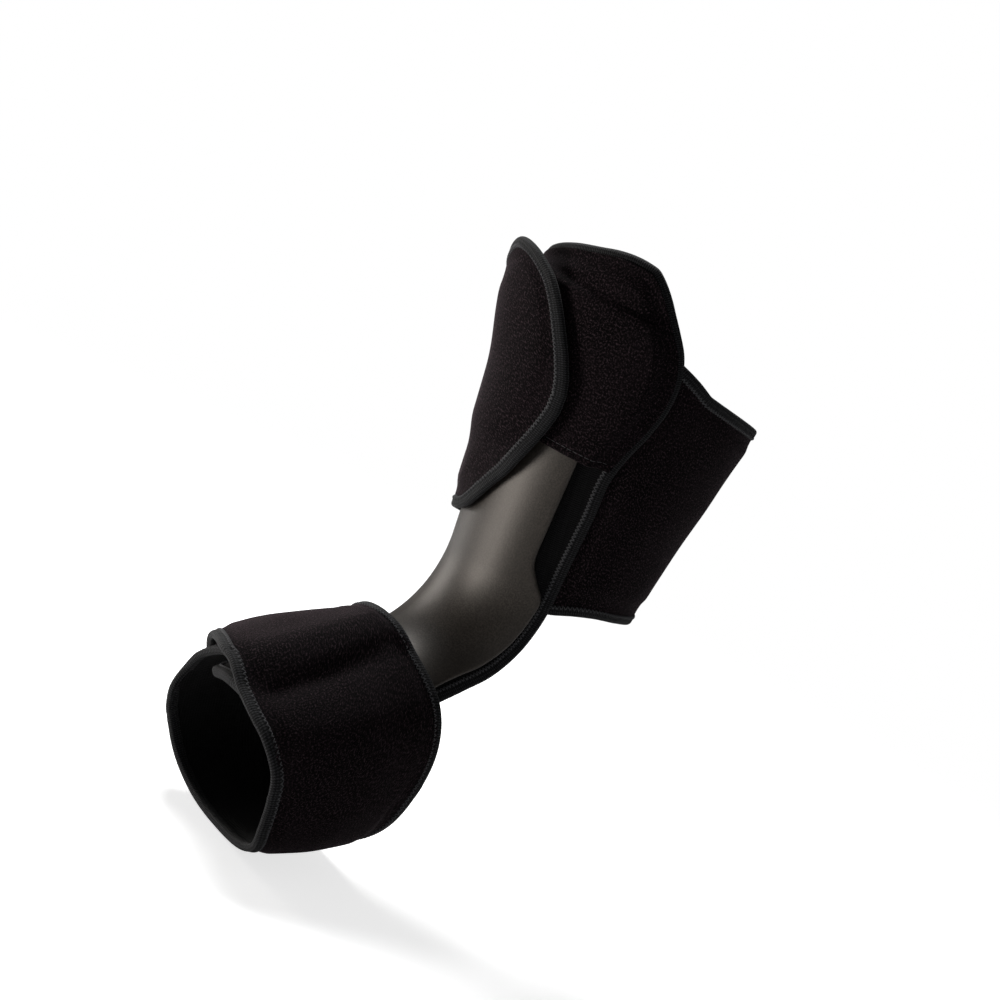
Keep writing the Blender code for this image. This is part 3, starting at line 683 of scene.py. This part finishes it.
# Shell: one moulded plate with a rounded rim
shell = {
    "rim": 1.25 * mm,
    "rowParts": 7,
    "columns": 30,
    # station and half angle of its edge
    "outline": [
        (-0.860, 10.0), (-0.850, 19.0), (-0.820, 27.0), (-0.750, 33.5), (-0.620, 37.0), (-0.450, 38.0),
        (-0.280, 38.0), (-0.150, 38.5), (-0.070, 40.5), (0.015, 45.0), (0.078, 48.5), (0.118, 49.7),
        (0.157, 50.5), (0.196, 50.5), (0.235, 44.0), (0.275, 39.3), (0.350, 39.0), (0.440, 39.0),
        (0.540, 39.0), (0.640, 38.8), (0.710, 37.5), (0.770, 34.0), (0.815, 29.0), (0.848, 21.0),
        (0.860, 10.0),
    ],
}


def rimShares(width, rim, middles):
    # places across a plate, close together in its rounded rims
    near = rim * np.array([0, 0.06, 0.18, 0.36, 0.62, 1.0, 1.8])
    between = np.arange(1, middles + 1) / (middles + 1)
    middle = near[-1] + (width[:, None] - 2 * near[-1]) * between
    near = np.repeat(near[None], len(width), 0)
    return np.concatenate([near, middle, width[:, None] - near[:, ::-1]], axis=1) / width[:, None]


def makeShell():
    rows = np.array(shell["outline"])
    station, half = smoother(reach(rows[:, 0]), shell["rowParts"]), smoother(rows[:, 1], shell["rowParts"])
    width = 2 * np.radians(half) * sectionAt(1, station)
    along, angle = acrossGrid((station, -half), (station, half), rimShares(width, shell["rim"], shell["columns"]))
    edge = ring(np.concatenate([station, station[::-1]]), np.concatenate([half, -half[::-1]]))
    away = np.clip(distanceTo(along, angle, *edge) / shell["rim"], 0, 1)
    round_ = shell["rim"] * (1 - np.sqrt(1 - (1 - away) ** 2))
    bottom = layers["shellAt"] + round_
    top = layers["shellAt"] + layers["shell"] - round_
    piece = panel("shell_plate", along, angle, bottom, np.maximum(top, bottom + 0.02 * mm),
                  [shellPlastic])
    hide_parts("shell")


# Cover: a thin brushed panel over the top of the shell and the liner's wings
cover = {
    "hem": 0.535,
    "hemRound": 0.9 * mm,
    "hemFold": 7.0 * mm,
    "edge": 1.0 * mm,
    "saddle": 0.105,
    "fall": 0.050,
    "columns": 60,
    "rowParts": 5,
    "stitchAt": 3.6 * mm,
    "stitchPitch": 2.4 * mm,
}


def makeCover():
    hem = float(reach(cover["hem"]))
    outer, inner = fineSides(liner["outline"], 3.0 * mm, cover["rowParts"])
    trimmed = []
    for along, angle in (outer, inner):
        start = hem + cover["hemRound"] * np.array([0, 0.08, 0.25, 0.6, 1.0, 2.0, 3.0, 4.0, 5.0, 6.0, 7.0])
        kept = along > start[-1] + mm
        trimmed.append((np.append(start, along[kept]), np.append(np.interp(start, along, angle), angle[kept])))
    shares = np.unique(np.concatenate([np.linspace(0, 1, cover["columns"]), np.linspace(0, 0.14, 14),
                                       1 - np.linspace(0, 0.14, 14)]))
    along, angle = acrossGrid(trimmed[0], trimmed[1], shares)
    shellEnd = float(reach(shell["outline"][-1][0]))
    saddle = ease((np.minimum(shares, 1 - shares) - cover["saddle"] + cover["fall"]) / cover["fall"])
    saddle = saddle * ease((shellEnd + layers["edgeRoll"] - along) / (layers["edgeRoll"] / 2))
    _, beside = linerHeights(along, angle)
    beside = beside + 1.6 * layers["gap"]
    low = beside + (layers["coverAt"] - beside) * saddle
    rim = distanceTo(along, angle, *ring(*edgePath(liner["outline"]))) - tape["width"]
    thick = cover["edge"] + (layers["cover"] - cover["edge"]) * ease(rim / layers["edgeRoll"])
    fromHem = np.clip((along - hem) / cover["hemRound"], 0, 1)
    thick = thick * (0.25 + 0.75 * np.sqrt(1 - (1 - fromHem) ** 2))
    groove = np.exp(-(((along - hem - cover["stitchAt"]) / (0.9 * mm)) ** 2))
    high = low + thick - 0.45 * mm * groove + 0.12 * mm * ripple(along, angle, 22 * mm, 5) * ease(rim / (6 * mm))
    piece = panel("shin_panel", along, angle, low, high, [velour, lining])
    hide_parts("shin_cover")
    stitches = stitchRow("shin_panel_stitches", along[0, 0] * 0 + hem + cover["stitchAt"], angle[0, 3], angle[0, -4],
                         piece)


def stitchRow(name, along, first, last, piece):
    # short stitches in a row across the cover, each one a small humped thread
    width = np.radians(last - first) * float(sectionAt(1, along))
    count = int(width / cover["stitchPitch"])
    bm = bmesh.new()
    turn = 2 * pi * np.arange(6) / 5
    for index in range(count):
        share = (index + np.linspace(0.14, 0.86, 5)) / count
        angle = first + (last - first) * share
        level = surfaceLevel(piece, along, angle)
        hump = 0.16 * mm * np.sin(pi * np.linspace(0, 1, 5)) - 0.05 * mm
        points = level + hump[:, None] * outwards(along, angle)
        addTube(bm, points, outwards(along, angle), 0.16 * mm, turn)
    closeUp(bm)
    return finishPiece(name, bm, [thread])


def outwards(along, angle):
    return (above(along, angle, mm) - above(along, angle, 0)) / mm


def surfaceLevel(piece, along, angle):
    # points on a piece's outer face, found by a ray from outside
    found = []
    for start, way in zip(above(along, angle, 40 * mm), outwards(along, angle)):
        hit, point, _, _ = piece.ray_cast(Vector(start), Vector(-way))
        found.append(point if hit else Vector(start) - Vector(way) * 28 * mm)
    return np.array([tuple(p) for p in found])


def addTube(bm, points, up, radius, turn):
    ahead = np.gradient(points, axis=0)
    ahead /= np.linalg.norm(ahead, axis=1, keepdims=True)
    side = np.cross(ahead, up)
    side /= np.linalg.norm(side, axis=1, keepdims=True)
    top = np.cross(side, ahead)
    layGrid(bm, points[:, None] + radius * (side[:, None] * np.cos(turn)[:, None] + top[:, None] * np.sin(turn)[:, None]))


# Calf wrap: a padded band from the liner's inner edge round the back to a rounded flap on the front
calfWrap = {
    "angleParts": 7,
    "middles": 34,
    "freeEnd": 326.0,
    "angleStep": 12.0,
    "settleStart": 4.0 * mm,
    "settleLength": 20.0 * mm,
    "flare": (0.62, 0.90),
    "tucked": 3.0,
    "ripple": 0.30 * mm,
    "ridge": 0.7 * mm,
    # angle, low and high edge, then how far it stands off below the hem, over the cover and at the top
    "outline": [
        (60.0, 0.172, 0.828, 0.0, 0.0, 0.0), (75.0, 0.188, 0.808, 0.0, 0.0, 0.0),
        (90.0, 0.196, 0.787, 0.0, 0.0, 0.0), (110.0, 0.198, 0.765, 0.0, 0.0, 0.0),
        (140.0, 0.196, 0.740, 0.0, 0.0, 0.0), (180.0, 0.196, 0.726, 0.0, 0.0, 0.0),
        (220.0, 0.200, 0.737, 0.0, 0.0, 0.0), (250.0, 0.208, 0.757, 0.0, 0.0, 0.0),
        (272.0, 0.220, 0.778, 0.04, 0.05, 0.10), (282.0, 0.228, 0.790, 0.14, 0.20, 0.32),
        (291.0, 0.236, 0.803, 0.30, 0.42, 0.60), (300.0, 0.245, 0.820, 0.48, 0.64, 0.88),
        (310.0, 0.255, 0.848, 0.60, 0.87, 1.14), (318.0, 0.264, 0.878, 0.74, 0.93, 1.27),
        (326.0, 0.273, 0.911, 0.76, 0.97, 1.31), (334.0, 0.282, 0.933, 0.78, 1.0, 1.28),
        (343.0, 0.292, 0.934, 0.76, 1.0, 1.20), (350.0, 0.309, 0.924, 0.76, 1.0, 1.12),
        (357.0, 0.342, 0.905, 0.76, 1.0, 1.05), (362.0, 0.372, 0.887, 0.78, 1.0, 1.02),
        (367.0, 0.404, 0.859, 0.80, 1.0, 1.0), (371.0, 0.430, 0.831, 0.84, 1.0, 1.0),
        (375.0, 0.463, 0.798, 0.88, 1.0, 1.0), (379.0, 0.505, 0.762, 0.94, 1.0, 1.0),
        (382.5, 0.550, 0.725, 1.0, 1.0, 1.0), (385.0, 0.590, 0.692, 1.0, 1.0, 1.0),
        (386.4, 0.622, 0.662, 1.0, 1.0, 1.0),
    ],
}

# Foot wrap: a padded band from the front round the outer side and underneath to its free end on top
footWrap = {
    "angleParts": 7,
    "middles": 34,
    "freeEnd": -396.0,
    "angleStep": 12.0,
    "ripple": 0.30 * mm,
    "crease": 3.2 * mm,
    "bulge": 2.3 * mm,
    # angle, front and rear edge, then 0 on the hollow, 1 over the shell, 2 over its own start
    "outline": [
        (-2.0, -0.890, -0.210, 1.0), (-12.0, -0.885, -0.212, 1.0), (-35.0, -0.880, -0.225, 1.0),
        (-44.0, -0.885, -0.232, 0.99), (-54.0, -0.895, -0.240, 0.79), (-64.0, -0.925, -0.248, 0.50),
        (-80.0, -0.925, -0.262, 0.14), (-100.0, -0.890, -0.285, 0.0), (-140.0, -0.850, -0.320, 0.0),
        (-180.0, -0.850, -0.335, 0.0), (-225.0, -0.895, -0.325, 0.0), (-262.0, -0.940, -0.278, 0.0),
        (-280.0, -0.940, -0.236, 0.14), (-296.0, -0.945, -0.214, 0.50), (-306.0, -0.965, -0.205, 0.79),
        (-316.0, -0.985, -0.198, 1.0), (-325.0, -0.998, -0.192, 1.02), (-336.0, -1.000, -0.186, 1.04),
        (-343.0, -0.998, -0.180, 1.16), (-350.0, -0.992, -0.174, 1.62), (-356.0, -0.982, -0.168, 1.90),
        (-364.0, -0.972, -0.164, 2.0), (-378.0, -0.925, -0.160, 2.0), (-396.0, -0.840, -0.162, 2.0),
        (-404.0, -0.805, -0.168, 1.9), (-414.0, -0.765, -0.180, 1.62), (-422.0, -0.735, -0.205, 1.30),
        (-429.0, -0.700, -0.240, 1.02), (-433.0, -0.655, -0.280, 0.90), (-435.3, -0.600, -0.335, 0.85),
        (-436.0, -0.545, -0.390, 0.84),
    ],
}


def bandTable(band, column):
    rows = np.array(band["outline"])
    turn = np.sign(rows[-1, 0] - rows[0, 0])
    return lambda angle: smoothThrough(turn * rows[:, 0], rows[:, column], turn * angle)


def bandEdges(band):
    own = np.array(band["outline"])[:, 0]
    turn = np.sign(own[-1] - own[0])
    free = own[turn * own >= turn * band["freeEnd"]]
    shared = band["angleStep"] * np.arange(-40, 41)
    between = shared[(turn * shared > turn * own[0] + 3) & (turn * shared < turn * band["freeEnd"] - 3)]
    angle = finer(np.concatenate([own[:1], between[::int(turn)], free]), band["angleParts"])
    return angle, reach(bandTable(band, 1)(angle)), reach(bandTable(band, 2)(angle))


def bandShares(width, middles):
    roll = layers["edgeRoll"] * np.array([0, 0.12, 0.25, 0.4, 0.55, 0.7, 0.85, 1.0, 1.2, 1.45])
    share = np.array([0, 0.03, 0.06, 0.10, 0.14, 0.18, 0.21, 0.25, 0.29, 0.33])
    rolls = np.minimum(roll, width[:, None] * share)
    between = np.arange(1, middles + 1) / (middles + 1)
    middle = rolls[:, -1:] + (width[:, None] - 2 * rolls[:, -1:]) * between
    return np.concatenate([rolls, middle, width[:, None] - rolls[:, ::-1]], axis=1) / width[:, None]


def bandPath(angle, first, second, tipPoints):
    tip = np.linspace(0, 1, tipPoints + 2)[1:-1]
    along = np.concatenate([first, first[-1] + (second[-1] - first[-1]) * tip, second[::-1]])
    return along, np.concatenate([angle, np.full(tipPoints, angle[-1]), angle[::-1]])


def bandSides(along, angle, count):
    return (along[:count], angle[:count]), (along[:-count - 1:-1], angle[:-count - 1:-1])


def calfLevel(along, angle):
    # height of the calf wrap's inner face
    lowRise, rise, highRise = (bandTable(calfWrap, column)(angle) for column in (3, 4, 5))
    hem = reach(cover["hem"])
    overCover = ease((along - hem + calfWrap["settleStart"] + calfWrap["settleLength"]) / calfWrap["settleLength"])
    first, last = reach(np.array(calfWrap["flare"]))
    share = lowRise + (rise - lowRise) * overCover + (highRise - rise) * ease((along - first) / (last - first))
    return layers["gap"] + (layers["flapAt"] - layers["gap"]) * share


def footLevel(along, angle):
    # height of the foot wrap's inner face
    return np.interp(bandTable(footWrap, 3)(angle), [0, 1, 2], [layers["gap"], layers["underAt"], layers["upperAt"]])


def besideLiner(along):
    rows = np.array(liner["outline"])
    knots, inner = smoother(reach(rows[:, 0]), 4), smoother(rows[:, 2], 4)
    return np.interp(along, knots, inner) + np.degrees(3 * layers["gap"] / sectionAt(1, along))


def settled(along, angle):
    first, settle = calfWrap["outline"][0][0], calfWrap["outline"][2][0]
    start = besideLiner(along)
    return np.where(angle < settle, start + (angle - first) * (settle - start) / (settle - first), angle)


def makeCalfWrap():
    angle, low, high = bandEdges(calfWrap)
    pathAlong, unsettled = bandPath(angle, low, high, 12)
    pathAngle = settled(pathAlong, unsettled)
    binding, stitches = bindEdge("calf_wrap_tape", pathAlong, pathAngle - calfWrap["tucked"] * 0.4, calfLevel,
                                 layers["wrapTape"], False, 12, [tapeKnit, thread])
    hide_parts("calf_wrap_binding")
    lowSide, highSide = bandSides(*insetPath(pathAlong, pathAngle, 2.2 * mm, False), len(angle))
    along, around = acrossGrid(lowSide, highSide, bandShares(high - low, calfWrap["middles"]))
    start = besideLiner(along) - calfWrap["tucked"]
    near = np.clip((np.arange(len(around)) / 14), 0, 1)[:, None]
    around = start * (1 - near) + around * near
    sewn = 1 - ease(np.radians(around - start) * hollow["bendSize"][0] / 2 / layers["edgeRoll"])
    away = distanceTo(along, around, pathAlong[::3], pathAngle[::3])
    thick = padding(away, layers["wrapEdge"], layers["wrap"])
    thick = thick + (np.minimum(layers["wrapStart"], thick) - thick) * sewn
    inner = calfLevel(along, around) + np.clip(layers["wrapTape"] - thick, 0, None) / 2 * (1 - sewn)
    soft = ease((away - tape["width"]) / layers["edgeRoll"]) * (1 - sewn)
    swell = calfWrap["ripple"] * ripple(along, around, 34 * mm, 21)
    fold = np.exp(-(((around - 318.0) / 2.2) ** 2)) * ease((0.120 - along) / 0.03) * ease((along - 0.052) / 0.015)
    piece = panel("calf_band", along, around, inner, inner + thick + soft * (swell + calfWrap["ridge"] * fold),
                  [velour, lining])
    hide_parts("calf_wrap")


def creaseAngle(along):
    # where the foot wrap's crease runs: from the rear rim forwards and down its inner side
    share = (along + 27 * mm) / (-85 * mm)
    return -360 + 8 + 15 * share


def makeFootWrap():
    angle, low, high = bandEdges(footWrap)
    pathAlong, pathAngle = bandPath(angle, high, low, 12)
    binding, stitches = bindEdge("foot_wrap_tape", pathAlong, pathAngle, footLevel, layers["wrapTape"], False, 13,
                                 [tapeKnit, thread])
    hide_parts("foot_wrap_binding")
    highSide, lowSide = bandSides(*insetPath(pathAlong, pathAngle, 2.2 * mm, False), len(angle))
    along, around = acrossGrid(lowSide, highSide, bandShares(high - low, footWrap["middles"]))
    away = distanceTo(along, around, pathAlong[::3], pathAngle[::3])
    thick = padding(away, layers["wrapEdge"], layers["wrap"])
    inner = footLevel(along, around) + np.clip(layers["wrapTape"] - thick, 0, None) / 2
    soft = ease((away - tape["width"]) / layers["edgeRoll"])
    swell = footWrap["ripple"] * ripple(along, around, 34 * mm, 31)
    off = around - creaseAngle(along)
    fades = ease((along + 0.122) / 0.02)
    crease = -footWrap["crease"] * np.exp(-((off / np.where(off < 0, 3.0, 8.0)) ** 2)) * fades
    bulge = footWrap["bulge"] * np.exp(-(((off + 13) / 9.0) ** 2)) * fades
    piece = panel("foot_band", along, around, inner, inner + thick + soft * (swell + crease + bulge),
                  [velour, lining])
    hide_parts("foot_wrap")


makeLiner()
makeShell()
makeCover()
makeCalfWrap()
makeFootWrap()
for name in ("calf_hook_patch", "foot_hook_patch"):
    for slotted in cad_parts[name].material_slots:
        slotted.material = hookTape
print("pieces made")

# Camera, light and floor
studio = {
    "azimuth": 47.0,
    "elevation": 13.0,
    "roll": 26.0,
    "distance": 1.1,
    "focalPixels": 2310.0,
    "framePixels": 1000.0,
    "originPixels": (-64.0, -128.0),
    "shiftPixels": (32.0, 64.0),
    "sensor": 36.0,
}


def viewAxes():
    azimuth, elevation, roll = (radians(studio[k]) for k in ("azimuth", "elevation", "roll"))
    back = np.array([np.sin(azimuth) * np.cos(elevation), -np.cos(azimuth) * np.cos(elevation), np.sin(elevation)])
    level = np.array([np.cos(azimuth), np.sin(azimuth), 0])
    upright = np.cross(back, level)
    right = np.cos(roll) * level + np.sin(roll) * upright
    up = -np.sin(roll) * level + np.cos(roll) * upright
    return right, up, back


def makeCamera():
    right, up, back = viewAxes()
    focal = studio["focalPixels"]
    turn = [-(o + s) for o, s in zip(studio["originPixels"], studio["shiftPixels"])]
    place = back * studio["distance"]
    ahead = -back * focal + right * turn[0] + up * turn[1]
    ahead /= np.linalg.norm(ahead)
    sideways = right - ahead * (right @ ahead)
    sideways /= np.linalg.norm(sideways)
    camera = bpy.data.cameras.new("camera")
    camera.sensor_width = studio["sensor"]
    camera.lens = focal / studio["framePixels"] * studio["sensor"]
    camera.shift_x = studio["shiftPixels"][0] / studio["framePixels"]
    camera.shift_y = studio["shiftPixels"][1] / studio["framePixels"]
    camera.clip_start, camera.clip_end = 0.01, 50
    viewer = bpy.data.objects.new("camera", camera)
    bpy.context.scene.collection.objects.link(viewer)
    upwards = np.cross(sideways, ahead)
    viewer.matrix_world = Matrix(
        [(sideways[i], upwards[i], -ahead[i], place[i]) for i in range(3)] + [(0, 0, 0, 1)]
    )
    bpy.context.scene.camera = viewer


lights = {
    # right, up and towards the camera, in metres from the middle; then width, height, watts and colour
    "key": ((-1.06, 0.04, 0.26), 0.35, 0.5, 10.0, (1.0, 0.965, 0.925)),
    "rim": ((-0.75, 0.45, -0.50), 0.4, 0.6, 4.2, (1.0, 0.965, 0.925)),
    "top": ((0.10, 1.18, -0.30), 0.6, 0.5, 19.0, (1.0, 1.0, 1.0)),
    "fill": ((0.25, -0.15, 1.30), 0.8, 0.8, 0.9, (0.97, 0.98, 1.0)),
    "below": ((0.75, -0.85, 0.55), 0.6, 0.6, 1.6, (0.97, 0.98, 1.0)),
}


def makeLights():
    right, up, back = viewAxes()
    middle = np.array([0.0, -0.01, 0.04])
    for name, (where, width, height, watts, tint) in lights.items():
        light = bpy.data.lights.new(name, "AREA")
        light.shape, light.size, light.size_y = "RECTANGLE", width, height
        light.energy, light.color = watts, tint
        lamp = bpy.data.objects.new(name, light)
        way = right * where[0] + up * where[1] + back * where[2]
        place = middle + way
        way /= np.linalg.norm(way)
        tall = up if abs(up @ way) < 0.7 else back
        wide = np.cross(tall, way)
        wide /= np.linalg.norm(wide)
        tall = np.cross(way, wide)
        lamp.matrix_world = Matrix([(wide[i], tall[i], way[i], place[i]) for i in range(3)] + [(0, 0, 0, 1)])
        bpy.context.scene.collection.objects.link(lamp)
    world = bpy.data.worlds.new("studio")
    world.use_nodes = True
    tree = world.node_tree
    surround = tree.nodes["Background"]
    surround.inputs["Color"].default_value = (1, 1, 1, 1)
    surround.inputs["Strength"].default_value = 0.10
    seen = node(tree, "ShaderNodeBackground", [("Color", (1, 1, 1, 1)), ("Strength", 1.0)])
    path = node(tree, "ShaderNodeLightPath")
    mixed = node(tree, "ShaderNodeMixShader", [(0, path.outputs["Is Camera Ray"]), (1, surround.outputs[0]),
                                               (2, seen.outputs[0])])
    tree.links.new(mixed.outputs[0], tree.nodes["World Output"].inputs["Surface"])
    bpy.context.scene.world = world
    bpy.context.scene.view_settings.view_transform = "Standard"


floorDisc = {"radius": 1.0, "fadeFrom": 0.30, "drop": 0.4 * mm, "glow": 0.72}


def makeFloor():
    # a pale disc that fades into the white surround
    bm = bmesh.new()
    bmesh.ops.create_circle(bm, cap_ends=True, segments=128, radius=floorDisc["radius"])
    bmesh.ops.translate(bm, verts=bm.verts, vec=(0, 0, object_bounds()[0][2] - floorDisc["drop"]))
    mesh = bpy.data.meshes.new("floor")
    bm.to_mesh(mesh)
    bm.free()
    material, tree, shader = startMaterial("paleFloor", 0.9, Specular_IOR_Level=0.1)
    grain = placed(tree, "grain", Scale=60.0)
    tree.links.new(mixColor(tree, grain["Clouds"], (0.93, 0.93, 0.93), (0.95, 0.95, 0.95)),
                   shader.inputs["Base Color"])
    place = node(tree, "ShaderNodeTexCoord").outputs["Object"]
    flat = node(tree, "ShaderNodeVectorMath", [(0, place), (1, (1, 1, 0))], operation="MULTIPLY").outputs[0]
    far = node(tree, "ShaderNodeVectorMath", [(0, flat)], operation="LENGTH").outputs["Value"]
    solid = math(tree, "SUBTRACT", 1.0, between(tree, far, floorDisc["fadeFrom"], floorDisc["radius"] * 0.97))
    tree.links.new(solid, shader.inputs["Alpha"])
    seen = node(tree, "ShaderNodeLightPath").outputs["Is Camera Ray"]
    tree.links.new(mixColor(tree, seen, (0, 0, 0), (1, 1, 1)), shader.inputs["Emission Color"])
    shader.inputs["Emission Strength"].default_value = floorDisc["glow"]
    mesh.materials.append(material)
    floor = bpy.data.objects.new("floor", mesh)
    floor.visible_shadow = False  # the key stands low beside the object
    bpy.context.scene.collection.objects.link(floor)


makeCamera()
makeLights()
makeFloor()
print("studio made")
